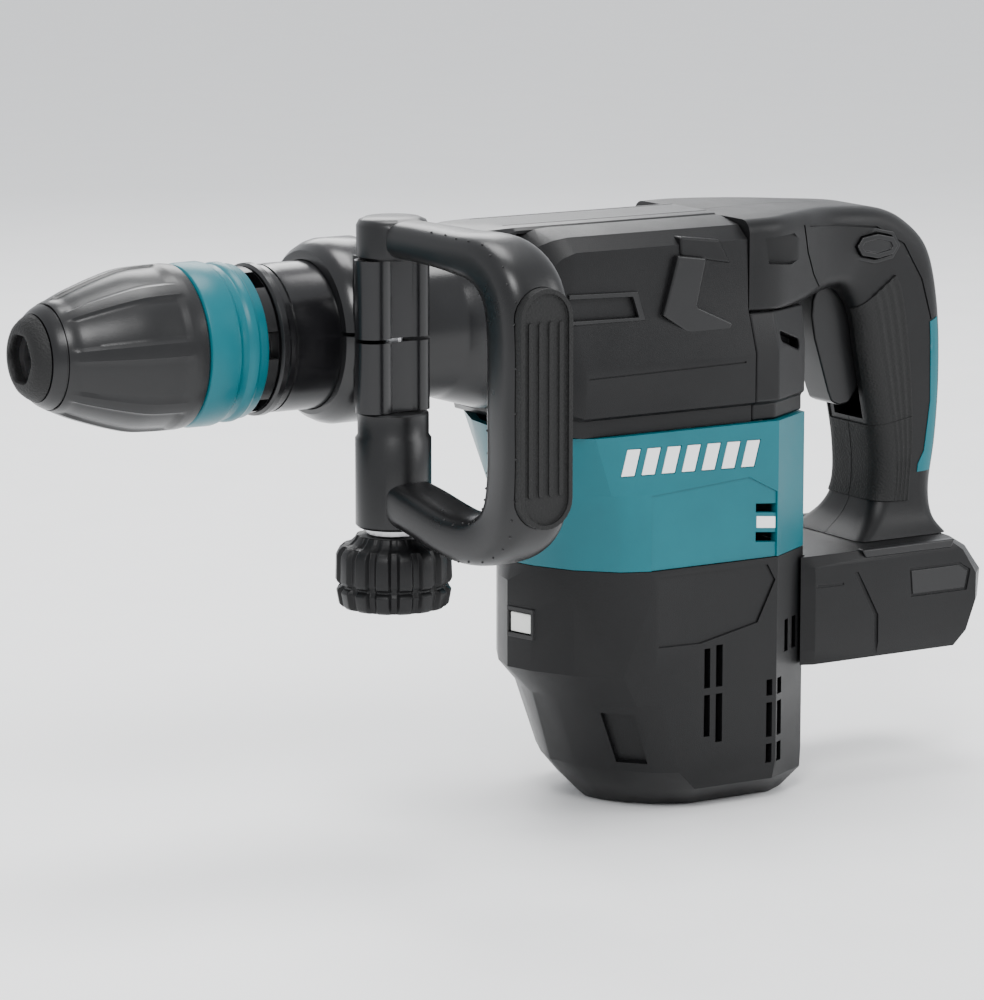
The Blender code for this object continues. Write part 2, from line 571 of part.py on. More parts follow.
# ---- side handle ------------------------------------------------------------
# stations of the loop: centre (x, y, z), half width along X, half thickness, direction (y, z)
LOOP = [
    ((138.5, -54, 44.2), 10.5, 7.5, (-1, 0.0)),
    ((140, -70, 44.4), 10.5, 7.6, (-1, 0.0)),
    ((144, -96, 43.3), 12, 8.3, (-1, 0.0)),
    ((148, -115, 41), 13.6, 10.5, (-0.9, -0.45)),
    ((150.5, -127, 31), 14.6, 12.8, (-0.45, -0.9)),
    ((151.5, -130.5, 12), 14.8, 13.8, (0, -1)),
    ((151.5, -130.5, -40), 14.8, 13.8, (0, -1)),
    ((150.5, -127, -58), 14.6, 12.8, (0.45, -0.9)),
    ((148, -115, -67.5), 13.6, 10.5, (0.9, -0.45)),
    ((144, -96, -69), 12, 9.5, (1, 0.05)),
    ((140, -70, -63), 11.5, 9.4, (1, 0.15)),
    ((138.5, -54, -60), 11, 9.4, (1, 0.2))]
LOOP_SHAPE = ((1, 0.45), (0.72, 0.85), (0, 1), (-0.72, 0.85), (-1, 0.45),
              (-1, -0.45), (-0.72, -0.85), (0, -1), (0.72, -0.85), (1, -0.45))


def loop_ring(station):
    (x, y, z), wide, thick, (dy, dz) = station
    size = math.hypot(dy, dz)
    across = (-dz / size, dy / size)
    return [(x + a * wide, y + b * thick * across[0], z + b * thick * across[1]) for a, b in LOOP_SHAPE]


def fluted(z, radius, depth, lobes=12):
    ring = []
    for i in range(lobes):
        for part, drop in ((0.0, 0.0), (0.45, 0.0), (0.6, 1.0), (0.85, 1.0)):
            a = 2 * math.pi * (i + part) / lobes
            r = radius - drop * depth
            ring.append((POST_X + r * math.cos(a), POST_Y + r * math.sin(a), z))
    return ring


def build_side_handle():
    post = {"x": POST_X, "y": POST_Y}
    band = turned("clamp_band", "X", [(126, 32), (127.5, 34.5), (131, 37), (135, 38), (149, 38), (151, 36.5)],
                  BLACK_COAT, 32, z=0.8)
    join(band, boxes("ear_web", [(129, 147, -56, -34, EAR_BOTTOM, EAR_TOP)]))
    for tag, offset, radius in (("front", -9.2, 7.6), ("rear", 9.2, 6.4)):
        join(band, cylinder("ear_lobe_" + tag, "Z", EAR_BOTTOM, EAR_TOP, radius, sides=16,
                            x=POST_X + offset, y=POST_Y - 0.7))
    cut(band, cylinder("band_bore", "X", 110, 160, BARREL_R + GAP, sides=36))
    cut(band, boxes("band_split", [(110, 160, -75, -26, 3.2, 4.8)]))
    cut(band, cylinder("ear_bore", "Z", -40, 45, BOLT_R + 0.4, sides=14, **post))

    grip = loft("side_grip", [loop_ring(s) for s in LOOP], BLACK)
    join(grip, turned("upper_eye", "Z", [(EAR_TOP + GAP, 14.6), (50, 14.6), (52.7, 11.5)], sides=20, **post))
    join(grip, turned("lower_sleeve", "Z", [(SLEEVE_BOTTOM, 14.4), (SLEEVE_BOTTOM + 1, 15.3), (-36, 15.3),
                                            (-34.5, 14.3), (EAR_BOTTOM - GAP, 14.3)], sides=20, **post))
    cut(grip, cylinder("post_bore", "Z", -90, 47.5, BOLT_R + 0.4, sides=14, **post))
    outline = []
    for z, sign in ((22, 1), (-48, -1)):
        for angle in range(0, 181, 45):
            a = math.radians(angle)
            outline.append((151 + sign * 11.8 * math.cos(a), z + sign * 11.8 * math.sin(a)))
    cut(grip, plate_y("pad_seat", inset(outline, -GAP), -139.7, -160))
    plate_y("side_grip_pad", outline, -140, -145, RUBBER)

    cylinder("clamp_bolt", "Z", -98, 47, BOLT_R, STEEL, 14, **post)
    turned("knob_washer", "Z", [(-74.6, 11), (-72.3, 11), (-72.3, BOLT_R + 0.4), (-74.6, BOLT_R + 0.4)],
           STEEL, 20, bore=True, **post)
    knob = loft("clamp_knob", [fluted(-104.6, 20.5, 0.6), fluted(-103, 22, 1.6), fluted(-96.5, 23.4, 1.8),
                               fluted(-94, 22.4, 0.8), fluted(-91.5, 23.6, 1.8), fluted(-81, 22.8, 1.8),
                               fluted(-79, 20, 0.6), fluted(-75, 15, 0.4)], BLACK)
    cut(knob, cylinder("knob_bore", "Z", -99, -60, BOLT_R + GAP, sides=14, **post))


# ---- joint axes -------------------------------------------------------------
MOVING = {
    "chuck": ((60, 0, 0), ["tool_holder", "dust_cap", "lock_roller_upper", "lock_roller_lower",
                           "release_spring"]),
    "release_sleeve": ((60, 0, 0), ["release_cover", "release_ring"]),
    "angle_ring": ((93, 0, 0), ["change_ring"]),
    "crank": ((CRANK_X, 0, -20), ["crankshaft", "crank_gear"]),
    "rod": ((PIN_X, 0, 0), ["connecting_rod", "wrist_pin"]),
    "motor_rotor": ((MOTOR_X, 0, -140), ["rotor", "rotor_shaft", "cooling_fan"]),
    "handle_clamp": ((138, 0, 0), ["clamp_band", "clamp_bolt", "knob_washer"]),
    "side_handle": ((POST_X, POST_Y, 0), ["side_grip", "side_grip_pad"]),
    "knob": ((POST_X, POST_Y, -90), ["clamp_knob"]),
    "trigger_pivot": ((TRIGGER_PIVOT[0], 0, TRIGGER_PIVOT[1]), ["trigger"])}


def add_joint_empties():
    for name, (spot, nodes) in MOVING.items():
        empty = bpy.data.objects.new("joint_" + name, None)
        empty.location = place(*spot)
        empty.empty_display_size = 0.02
        PARTS.objects.link(empty)
        for node in nodes:
            obj = bpy.data.objects[node]
            obj.parent = empty
            obj.matrix_parent_inverse = Matrix.Translation(-place(*spot))


build_chuck()
build_barrel()
build_crank_train()
build_motor()
build_upper_housing()
build_rear_cover()
build_gear_housing()
build_motor_housing()
build_battery_block()
build_handle()
build_side_handle()
add_joint_empties()
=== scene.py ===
"""Looks of the demolition hammer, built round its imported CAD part."""
import math
import random

import bmesh
import bpy
from mathutils import Matrix, Vector


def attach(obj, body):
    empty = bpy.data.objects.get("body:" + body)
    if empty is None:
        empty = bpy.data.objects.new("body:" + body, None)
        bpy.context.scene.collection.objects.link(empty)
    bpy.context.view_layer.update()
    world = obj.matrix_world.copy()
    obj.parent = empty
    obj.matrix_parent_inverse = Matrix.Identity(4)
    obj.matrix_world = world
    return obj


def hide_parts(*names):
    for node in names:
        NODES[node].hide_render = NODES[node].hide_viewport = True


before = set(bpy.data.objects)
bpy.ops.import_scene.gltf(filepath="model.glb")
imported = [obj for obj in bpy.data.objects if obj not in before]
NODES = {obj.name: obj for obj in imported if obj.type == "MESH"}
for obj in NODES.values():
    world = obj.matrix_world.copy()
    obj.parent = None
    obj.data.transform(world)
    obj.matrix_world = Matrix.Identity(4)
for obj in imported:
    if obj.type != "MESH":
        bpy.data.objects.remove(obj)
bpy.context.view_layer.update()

# Tool coordinates are millimetres from the nose centre on the barrel axis: +X runs to the rear,
# -Y is the side that faces the camera and +Z is up.
BARREL_HEIGHT = 210.6
ORIGIN_X = 306.0
BASE_Z = -BARREL_HEIGHT
SEAM_X = 314.0
BELT_BOTTOM = -45.4
GEAR_BOTTOM = -103.9
POST = {"x": 138.0, "y": -50.0}
SHARP_ANGLE = 38
PATCH_SCALE = 18.0
GRAIN_HEIGHT = 0.0004


def place(x, y, z):
    """World point in metres of a point in tool coordinates."""
    return Vector((x - ORIGIN_X, y, z + BARREL_HEIGHT)) / 1000.0


# ---- materials --------------------------------------------------------------
def surface(name, dark, light, rough, spread, metallic=0.0, cells=900.0, bump=0.12,
            stretch=(1, 1, 1), kind="noise", specular=0.5):
    """Procedural finish: broad colour patches, uneven gloss and a fine surface grain."""
    mat = bpy.data.materials.new(name)
    mat.use_nodes = True
    nodes, links = mat.node_tree.nodes, mat.node_tree.links
    bsdf = nodes["Principled BSDF"]
    bsdf.inputs["Metallic"].default_value = metallic
    bsdf.inputs["Specular IOR Level"].default_value = specular
    coords = nodes.new("ShaderNodeTexCoord")
    mapping = nodes.new("ShaderNodeMapping")
    mapping.inputs["Scale"].default_value = stretch
    links.new(coords.outputs["Object"], mapping.inputs["Vector"])
    broad = nodes.new("ShaderNodeTexNoise")
    broad.inputs["Scale"].default_value = PATCH_SCALE
    broad.inputs["Detail"].default_value = 6.0
    broad.inputs["Roughness"].default_value = 0.62
    links.new(mapping.outputs["Vector"], broad.inputs["Vector"])
    ramp = nodes.new("ShaderNodeValToRGB")
    ramp.color_ramp.elements[0].position = 0.3
    ramp.color_ramp.elements[0].color = (*dark, 1)
    ramp.color_ramp.elements[1].position = 0.72
    ramp.color_ramp.elements[1].color = (*light, 1)
    links.new(broad.outputs["Fac"], ramp.inputs["Fac"])
    links.new(ramp.outputs["Color"], bsdf.inputs["Base Color"])
    gloss = nodes.new("ShaderNodeMapRange")
    gloss.inputs["From Min"].default_value = 0.3
    gloss.inputs["From Max"].default_value = 0.7
    gloss.inputs["To Min"].default_value = rough - spread
    gloss.inputs["To Max"].default_value = rough + spread
    links.new(broad.outputs["Fac"], gloss.inputs["Value"])
    links.new(gloss.outputs["Result"], bsdf.inputs["Roughness"])
    if kind == "pebble":
        grain = nodes.new("ShaderNodeTexVoronoi")
        grain.feature = "SMOOTH_F1"
        height = grain.outputs["Distance"]
    else:
        grain = nodes.new("ShaderNodeTexNoise")
        grain.inputs["Detail"].default_value = 4.0
        height = grain.outputs["Fac"]
    grain.inputs["Scale"].default_value = cells
    links.new(mapping.outputs["Vector"], grain.inputs["Vector"])
    relief = nodes.new("ShaderNodeBump")
    relief.inputs["Strength"].default_value = bump
    relief.inputs["Distance"].default_value = GRAIN_HEIGHT
    links.new(height, relief.inputs["Height"])
    links.new(relief.outputs["Normal"], bsdf.inputs["Normal"])
    return mat


BLACK = surface("moulded_black", (0.003, 0.003, 0.0033), (0.0065, 0.0065, 0.007), 0.40, 0.07,
                cells=2600, bump=0.24, specular=0.24)
SATIN = surface("satin_black", (0.004, 0.004, 0.0045), (0.008, 0.008, 0.0085), 0.31, 0.05,
                cells=3000, bump=0.10, specular=0.36)
COATED = surface("coated_barrel", (0.004, 0.004, 0.0045), (0.008, 0.008, 0.009), 0.22, 0.05,
                 cells=3200, bump=0.07, specular=0.42)
RUBBER = surface("pebbled_rubber", (0.004, 0.004, 0.004), (0.008, 0.008, 0.008), 0.62, 0.08,
                 cells=1150, bump=0.6, kind="pebble", specular=0.3)
TEAL = surface("teal_shell", (0.0, 0.088, 0.112), (0.0, 0.112, 0.140), 0.33, 0.05,
               cells=2600, bump=0.10, specular=0.28)
STEEL = surface("ground_steel", (0.42, 0.42, 0.43), (0.60, 0.60, 0.61), 0.30, 0.08,
                metallic=1.0, cells=420, bump=0.12, stretch=(0.2, 3, 3))
DARK_STEEL = surface("oiled_steel", (0.12, 0.12, 0.13), (0.22, 0.22, 0.23), 0.38, 0.08,
                     metallic=1.0, cells=700, bump=0.15)
ALUMINIUM = surface("cast_aluminium", (0.45, 0.45, 0.46), (0.60, 0.60, 0.61), 0.50, 0.07,
                    metallic=1.0, cells=500, bump=0.35)
COPPER = surface("wound_copper", (0.50, 0.20, 0.08), (0.72, 0.34, 0.15), 0.38, 0.08,
                 metallic=1.0, cells=260, bump=0.7, stretch=(1, 1, 9))
LENS = surface("lamp_lens", (0.72, 0.74, 0.70), (0.86, 0.87, 0.83), 0.14, 0.04, cells=500, bump=0.25)
ZINC = surface("zinc_plate", (0.34, 0.34, 0.32), (0.52, 0.52, 0.49), 0.34, 0.08,
               metallic=1.0, cells=900, bump=0.12)
WHITE = surface("white_print", (0.74, 0.75, 0.75), (0.84, 0.84, 0.84), 0.42, 0.05,
                cells=1500, bump=0.05)
# Painted shade: a near-black matte finish for the sheet inside the motor housing that stands in for the
# shade seen through the vents.
VENT_SHADE = surface("vent_painted_shade", (0.004, 0.004, 0.004), (0.009, 0.009, 0.009), 0.75, 0.08,
                   cells=900, bump=0.2)

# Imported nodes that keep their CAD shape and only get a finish.
FINISH = {
    "tool_holder": STEEL, "lock_roller_upper": STEEL, "lock_roller_lower": STEEL, "release_spring": STEEL,
    "impact_bolt": STEEL, "cylinder": STEEL, "wrist_pin": STEEL, "crank_bearing_upper": STEEL,
    "crank_bearing_lower": STEEL, "rotor_shaft": STEEL, "motor_bearing_upper": STEEL,
    "motor_bearing_lower": STEEL, "damper_spring_front": STEEL, "damper_spring_rear": STEEL,
    "battery_rail_left": STEEL, "battery_rail_right": STEEL, "trigger_pin": STEEL, "clamp_bolt": STEEL,
    "knob_washer": STEEL, "striker": DARK_STEEL, "crankshaft": DARK_STEEL, "crank_gear": DARK_STEEL,
    "rotor": DARK_STEEL, "counterweight": DARK_STEEL, "piston": ALUMINIUM, "connecting_rod": ALUMINIUM,
    "bearing_plate": ALUMINIUM, "gear_case": ALUMINIUM, "stator": COPPER, "cooling_fan": BLACK,
    "terminal_block": BLACK, "switch_body": BLACK}
for node, mat in FINISH.items():
    NODES[node].data.materials.clear()
    NODES[node].data.materials.append(mat)


# ---- builders ---------------------------------------------------------------
def from_bmesh(name, bm, mat=None):
    """Turn a bmesh into a linked object and free it."""
    bmesh.ops.recalc_face_normals(bm, faces=bm.faces)
    mesh = bpy.data.meshes.new(name)
    bm.to_mesh(mesh)
    bm.free()
    obj = bpy.data.objects.new(name, mesh)
    bpy.context.scene.collection.objects.link(obj)
    if mat:
        mesh.materials.append(mat)
    return obj


def skin(name, rings, mat=None, closed=False):
    """Skin rings of points in tool coordinates, capped unless they form a loop."""
    bm = bmesh.new()
    rows = [[bm.verts.new(place(*p)) for p in ring] for ring in rings]
    pairs = list(zip(rows, rows[1:] + rows[:1])) if closed else list(zip(rows, rows[1:]))
    for a, b in pairs:
        for j in range(len(a)):
            k = (j + 1) % len(a)
            bm.faces.new((a[j], a[k], b[k], b[j]))
    if not closed:
        bm.faces.new(rows[0][::-1])
        bm.faces.new(rows[-1])
    return from_bmesh(name, bm, mat)


def spin(name, axis, profile, mat=None, sides=112, x=0.0, y=0.0, z=0.0, bore=False, shape=None):
    """Turn a (position, radius) profile; shape(position, radius, angle) may vary the radius."""
    rings = []
    for at, r in profile:
        ring = []
        for i in range(sides):
            a = 2 * math.pi * i / sides
            rr = shape(at, r, a) if shape else r
            c, s = rr * math.cos(a), rr * math.sin(a)
            ring.append((at, y + c, z + s) if axis == "X" else (x + c, y + s, at))
        rings.append(ring)
    return skin(name, rings, mat, closed=bore)


def bar(name, axis, start, end, radius, mat=None, sides=48, x=0.0, y=0.0, z=0.0):
    """Round bar along X, Y or Z."""
    if axis == "Y":
        turns = [2 * math.pi * i / sides for i in range(sides)]
        ring = [(x + radius * math.cos(a), z + radius * math.sin(a)) for a in turns]
        return plate(name, ring, start, end, mat)
    return spin(name, axis, [(start, radius), (end, radius)], mat, sides, x, y, z)


def plate(name, outline, y0, y1, mat=None):
    """An (x, z) outline extruded from y0 to y1."""
    return skin(name, [[(x, y, z) for x, z in outline] for y in (y0, y1)], mat)


def boxes(name, extents, mat=None):
    """One object made of separate boxes, each given by its six limits."""
    bm = bmesh.new()
    for x0, x1, y0, y1, z0, z1 in extents:
        a, b = place(x0, y0, z0), place(x1, y1, z1)
        size = Matrix.Diagonal((*(b - a), 1.0))
        bmesh.ops.create_cube(bm, size=1.0, matrix=Matrix.Translation((a + b) / 2) @ size)
    return from_bmesh(name, bm, mat)


def mirrored(half):
    """Close an (x, y) outline by mirroring its half in y."""
    return half + [(x, -y) for x, y in reversed(half[1:-1])]


def inset(outline, d):
    """Move an outline inwards by d, or outwards if d is negative."""
    area = sum(a[0] * b[1] - b[0] * a[1] for a, b in zip(outline, outline[1:] + outline[:1]))
    side = 1.0 if area > 0 else -1.0
    out = []
    for i, p in enumerate(outline):
        e1 = (Vector(p) - Vector(outline[i - 1])).normalized()
        e2 = (Vector(outline[(i + 1) % len(outline)]) - Vector(p)).normalized()
        n1, n2 = Vector((-e1.y, e1.x)), Vector((-e2.y, e2.x))
        shift = (n1 + n2) * (side * d / (1.0 + n1.dot(n2)))
        out.append((p[0] + shift.x, p[1] + shift.y))
    return out


def spline(rows, per):
    """Catmull-Rom points through rows of numbers, per steps to a span."""
    out = []
    for i in range(len(rows) - 1):
        a, b, c, d = rows[max(i - 1, 0)], rows[i], rows[i + 1], rows[min(i + 2, len(rows) - 1)]
        for k in range(per):
            t = k / per
            out.append([0.5 * (2 * q + (r - p) * t + (2 * p - 5 * q + 4 * r - s) * t * t
                               + (3 * q - p - 3 * r + s) * t ** 3) for p, q, r, s in zip(a, b, c, d)])
    out.append(list(rows[-1]))
    return out


def step(value, edge, soft):
    """Smooth rise from 0 to 1, centred on edge and soft wide."""
    t = min(1.0, max(0.0, (value - edge) / soft + 0.5))
    return t * t * (3 - 2 * t)


def carve(target, tools, operation="DIFFERENCE"):
    """Boolean the tools into target one after another, then drop them."""
    for tool in tools:
        mod = target.modifiers.new("cut", "BOOLEAN")
        mod.object = tool
        mod.operation = operation
        mod.solver = "EXACT"
    bpy.context.view_layer.update()
    mesh = bpy.data.meshes.new_from_object(target.evaluated_get(bpy.context.evaluated_depsgraph_get()))
    target.modifiers.clear()
    target.data = mesh
    for tool in tools:
        bpy.data.objects.remove(tool, do_unlink=True)
    return target


def fit(obj, body, replaces=(), bevel=0.0, segments=3, angle=28):
    """Shade and bevel a finished piece and hang it on its body."""
    for face in obj.data.polygons:
        face.use_smooth = True
    obj.data.set_sharp_from_angle(angle=math.radians(SHARP_ANGLE))
    if bevel:
        mod = obj.modifiers.new("edge", "BEVEL")
        mod.width = bevel / 1000
        mod.segments = segments
        mod.limit_method = "ANGLE"
        mod.angle_limit = math.radians(angle)
        mod.harden_normals = True
        mod.miter_outer = "MITER_ARC"
    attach(obj, body)
    if replaces:
        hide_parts(*replaces)
    return obj


def both_sides(name, outline, near, far, mat=None):
    """The same plate on the left and on the right, near to far from the middle plane."""
    return [plate(name + tag, outline, side * near, side * far, mat)
            for tag, side in (("_l", -1), ("_r", 1))]


def mount_all(pieces, bevel, segments=3):
    """Hang pieces that replace no CAD node on the housing."""
    for obj in pieces:
        fit(obj, "housing", (), bevel, segments)


# ---- chuck ------------------------------------------------------------------
FLUTES = 8
FLUTE_PHASE = 0.15
FLUTE_DEPTH = 1.1
NOTCHES = 6


def sleeve_shape(at, r, a):
    """Shallow flutes along the release cover, faded out at both ends."""
    lobe = abs((a * FLUTES / (2 * math.pi) + FLUTE_PHASE) % 1.0 - 0.5)
    along = step(at, 13, 5) * (1 - step(at, 57, 3))
    return r - FLUTE_DEPTH * along * step(0.36 - lobe, 0, 0.06)


def lip_shape(at, r, a):
    """Six soft lobes round the mouth of the dust cap."""
    return r + (0.35 * math.cos(6 * a) if r < 12 else 0.0)


def build_chuck():
    outer = spline([
        (4.2, 17.7), (7, 20.0), (15.7, 24.2), (24.4, 27.4), (33.2, 30.2), (42, 32.4), (51, 33.1),
        (62, 33.3)], 7)
    profile = outer + [(64.6, 33.0), (65.6, 32.0), (65.6, 27.4), (20, 19.6), (4.2, 16.3)]
    cover = spin("release_cover_v", "X", profile, SATIN, 192, bore=True, shape=sleeve_shape)
    nose_line = [(8.6, 40), (9.5, 40), (9.5, 20.4), (8.6, 20.0)]
    carve(cover, [spin("nose_groove", "X", nose_line, sides=96, bore=True)])
    fit(cover, "release_sleeve", ["release_cover"], 0.35, 2)
    ring = spin("release_ring_v", "X", [
        (66, 31.6), (66.7, 32.5), (69, 33.1), (77.4, 33.2), (79.2, 32.8), (80, 31.9), (81, 31.4),
        (83.6, 31.4), (84.4, 31.9), (85.4, 32.3), (87.4, 32.3), (88.2, 31.8), (88.9, 31.5),
        (91.6, 31.3), (92.6, 30.7), (92.6, 30.1), (79.6, 30.1), (79.6, 24.6), (69.7, 24.6),
        (69.7, 19.3), (66, 19.3)], TEAL, 144, bore=True)
    fit(ring, "release_sleeve", ["release_ring"], 0.3, 2)
    dust = spin("dust_cap_v", "X", [
        (-2, 10.1), (-2, 11.2), (-1.5, 12.9), (-0.4, 14.6), (1.6, 16.2), (3.6, 17.4), (3.7, 11.5),
        (2.4, 10.6), (0.5, 9.7), (-1.2, 9.6)], RUBBER, 96, bore=True, shape=lip_shape)
    fit(dust, "chuck", ["dust_cap"])
    change = spin("change_ring_v", "X", [
        (88, 22.4), (88, 28.9), (88.8, 29.6), (97.6, 29.6), (98.3, 28.9), (98.3, 22.4)], SATIN, 144,
        bore=True)
    notches = bmesh.new()
    notch_centre = Matrix.Translation(place(95.4, 0, 0))
    notch_offset = Matrix.Translation((0, 0.0275, 0))
    notch_size = Matrix.Diagonal((0.0046, 0.014, 0.011, 1.0))
    for i in range(NOTCHES):
        turn = Matrix.Rotation(math.radians(360 // NOTCHES * i - 3), 4, "X")
        bmesh.ops.create_cube(notches, size=1.0, matrix=notch_centre @ turn @ notch_offset @ notch_size)
    carve(change, [from_bmesh("notches", notches)])
    fit(change, "angle_ring", ["change_ring"], 0.4, 2)


# ---- barrel and clamp -------------------------------------------------------
def build_barrel():
    barrel = spin("barrel_v", "X", [
        (98.8, 22.7), (98.8, 29.7), (99.6, 30.9), (102, 31), (103, 30.2), (108, 30), (110, 30.2),
        (184, 30.2), (186, 31.2), (205, 36.6), (213.8, 38.2), (213.8, 22.7)], COATED, 144, bore=True)
    collar_line = [(105.2, 40), (106.2, 40), (106.2, 29.4), (105.2, 29.4)]
    carve(barrel, [spin("barrel_groove", "X", collar_line, sides=96, bore=True)])
    fit(barrel, "housing", ["barrel_housing"], 0.5)
    band = spin("clamp_band_v", "X", [
        (126, 31.6), (126.3, 33.4), (128.6, 35.6), (132, 37.3), (135, 38), (148.4, 38), (150.4, 37.2),
        (151, 36)], COATED, 144, z=0.8)
    ears = [boxes("ear_web", [(129, 147, -56, -34, -25, 36)]),
            bar("lobe_a", "Z", -25, 36, 7.6, x=POST["x"] - 9.2, y=POST["y"] - 0.7),
            bar("lobe_b", "Z", -25, 36, 6.4, x=POST["x"] + 9.2, y=POST["y"] - 0.7)]
    carve(band, ears, "UNION")
    carve(band, [bar("band_bore", "X", 110, 160, 30.6, sides=144),
                 boxes("band_split", [(110, 160, -75, -26, 3.2, 4.8)]),
                 bar("ear_bore", "Z", -40, 45, 4.4, **POST)])
    fit(band, "handle_clamp", ["clamp_band"], 0.9)


# ---- side handle ------------------------------------------------------------
# Centre line of the grip: x, y, z, half width, half thickness and direction in y and z.
LOOP = [
    (138.5, -54, 44.2, 10.5, 7.5, -1, 0.0), (140, -70, 44.4, 10.5, 7.6, -1, 0.0),
    (144, -96, 43.3, 12, 8.3, -1, 0.0), (148, -115, 41, 13.6, 10.5, -0.9, -0.45),
    (150.5, -127, 31, 14.6, 12.8, -0.45, -0.9), (151.5, -130.5, 12, 14.8, 13.6, 0, -1),
    (151.5, -130.5, -14, 14.8, 13.6, 0, -1), (151.5, -130.5, -40, 14.8, 13.6, 0, -1),
    (150.5, -127, -58, 14.6, 12.8, 0.45, -0.9), (148, -115, -67.5, 13.6, 10.5, 0.9, -0.45),
    (144, -96, -69, 12, 9.5, 1, 0.05), (140, -70, -63, 11.5, 9.4, 1, 0.15),
    (138.5, -54, -60, 11, 9.4, 1, 0.2)]


LOOP_SIDES = 44
LOOP_POWER = 3.1
PAD_X, PAD_TOP, PAD_BOTTOM = 151, 22, -48
PAD_RADIUS = 11.8
TREADS = 15


def squircle(count, power):
    """Points of a unit circle squared off by power."""
    out = []
    for i in range(count):
        a = 2 * math.pi * i / count
        c, s = math.cos(a), math.sin(a)
        out.append((math.copysign(abs(c) ** (2 / power), c), math.copysign(abs(s) ** (2 / power), s)))
    return out


def loop_ring(row):
    x, y, z, wide, thick, dy, dz = row
    size = math.hypot(dy, dz)
    ay, az = -dz / size, dy / size
    return [(x + a * wide, y + b * thick * ay, z + b * thick * az)
            for a, b in squircle(LOOP_SIDES, LOOP_POWER)]


def stadium(x, z_top, z_bottom, r, count=14):
    """Upright slot outline with round ends."""
    turns = [math.pi * i / count for i in range(count + 1)]
    top = [(x + r * math.cos(a), z_top + r * math.sin(a)) for a in turns]
    return top + [(x - r * math.cos(a), z_bottom - r * math.sin(a)) for a in turns]


def tread_shape(at, r, a):
    """Grip lobes of the knob, deeper where the knob is wide."""
    lobe = (a * TREADS / (2 * math.pi)) % 1.0
    depth = 1.9 if r > 21.5 else 0.7
    return r - depth * step(abs(lobe - 0.5), 0.31, 0.1)


def build_side_handle():
    rows = spline(LOOP, 6)
    grip = skin("side_grip_v", [loop_ring(r) for r in rows], SATIN)
    eye = spin("eye", "Z", [
        (36.3, 13.6), (37.2, 14.5), (49.4, 14.5), (51.4, 13.4), (52.5, 11)], sides=96, **POST)
    sleeve = spin("sleeve", "Z", [
        (-72, 14.4), (-71, 15.3), (-36, 15.3), (-34.6, 14.3), (-26, 14.3), (-25.3, 13.6)],
        sides=96, **POST)
    carve(grip, [eye, sleeve], "UNION")
    pad_seat = stadium(PAD_X, PAD_TOP, PAD_BOTTOM, PAD_RADIUS + 0.3)
    carve(grip, [bar("post_bore", "Z", -90, 47.4, 4.4, **POST),
                 plate("pad_seat", pad_seat, -139.7, -160)])
    fit(grip, "side_handle", ["side_grip"], 0.7, 2, 40)
    pad_outline = stadium(PAD_X, PAD_TOP, PAD_BOTTOM, PAD_RADIUS)
    pad = plate("side_grip_pad_v", pad_outline, -140, -143.4, RUBBER)
    ribs = [plate("rib%d" % i, stadium(x, 20, -46, 1.0, 6), -144.2, -142.6)
            for i, x in enumerate((144, 148.6, 153.2, 157.8))]
    rim = plate("rim_out", pad_outline, -143.2, -144.6)
    carve(rim, [plate("rim_in", stadium(PAD_X, PAD_TOP, PAD_BOTTOM, 9.9), -141, -147)])
    carve(pad, [rim], "UNION")
    carve(pad, ribs, "UNION")
    fit(pad, "side_handle", ["side_grip_pad"], 0.35, 2)
    bm = bmesh.new()
    rng = random.Random(4)
    for index in range(10, len(rows) - 12, 2):
        ring = loop_ring(rows[index])
        for slot_at in (17, 27):
            x, y, z = ring[(slot_at + rng.choice((0, 1))) % len(ring)]
            bmesh.ops.create_uvsphere(bm, u_segments=10, v_segments=6, radius=0.0005,
                                      matrix=Matrix.Translation(place(x, y, z)))
    dots = from_bmesh("side_grip_dots", bm, SATIN)
    fit(dots, "side_handle")
    knob = spin("clamp_knob_v", "Z", [
        (-104.6, 19.6), (-104.2, 21), (-103, 22.2), (-97.6, 23.2), (-96.6, 22.6), (-95.9, 21.2),
        (-95.1, 21.2), (-94.3, 22.8), (-93, 23.5), (-83, 23.2), (-81, 22.2), (-79.6, 20.6),
        (-78.8, 18), (-77, 16), (-75.2, 15)], BLACK, 240, shape=tread_shape, **POST)
    carve(knob, [bar("knob_bore", "Z", -99, -60, 4.3, **POST)])
    fit(knob, "clamp_knob", ["clamp_knob"], 0.35, 2, 35)


# ---- housings ---------------------------------------------------------------
# Half sections of the upper housing in (y, z).
NOSE_SECTION = [(0, 38.4), (15, 37), (27, 30), (36.5, 18), (40.5, 2), (40, -12), (36, -24),
                (31, -32), (25, -40), (0, -40)]
BODY_SECTION = [(0, 39.2), (22, 39.2), (36, 36.6), (43, 31), (44, 2), (50, -16), (50, -37), (47, -38.6),
                (47, BELT_BOTTOM), (0, BELT_BOTTOM)]
# Half plans in (x, y): the rear that the lower shells share, and the front where they meet.
REAR_PLAN = [(326, 50), (349, 36), (352, 0)]
JOIN_PLAN = [(224, 0), (227, 13), (236, 31), (250, 45), (262, 50)]


def section_at(x, half):
    """Ring at x from a (y, z) half section, mirrored in y."""
    return [(x, y, z) for y, z in half + [(-y, z) for y, z in reversed(half[1:-1])]]


def blended(a, b, t):
    """Section that lies t of the way from a to b."""
    return [(p[0] + (q[0] - p[0]) * t, p[1] + (q[1] - p[1]) * t) for p, q in zip(a, b)]


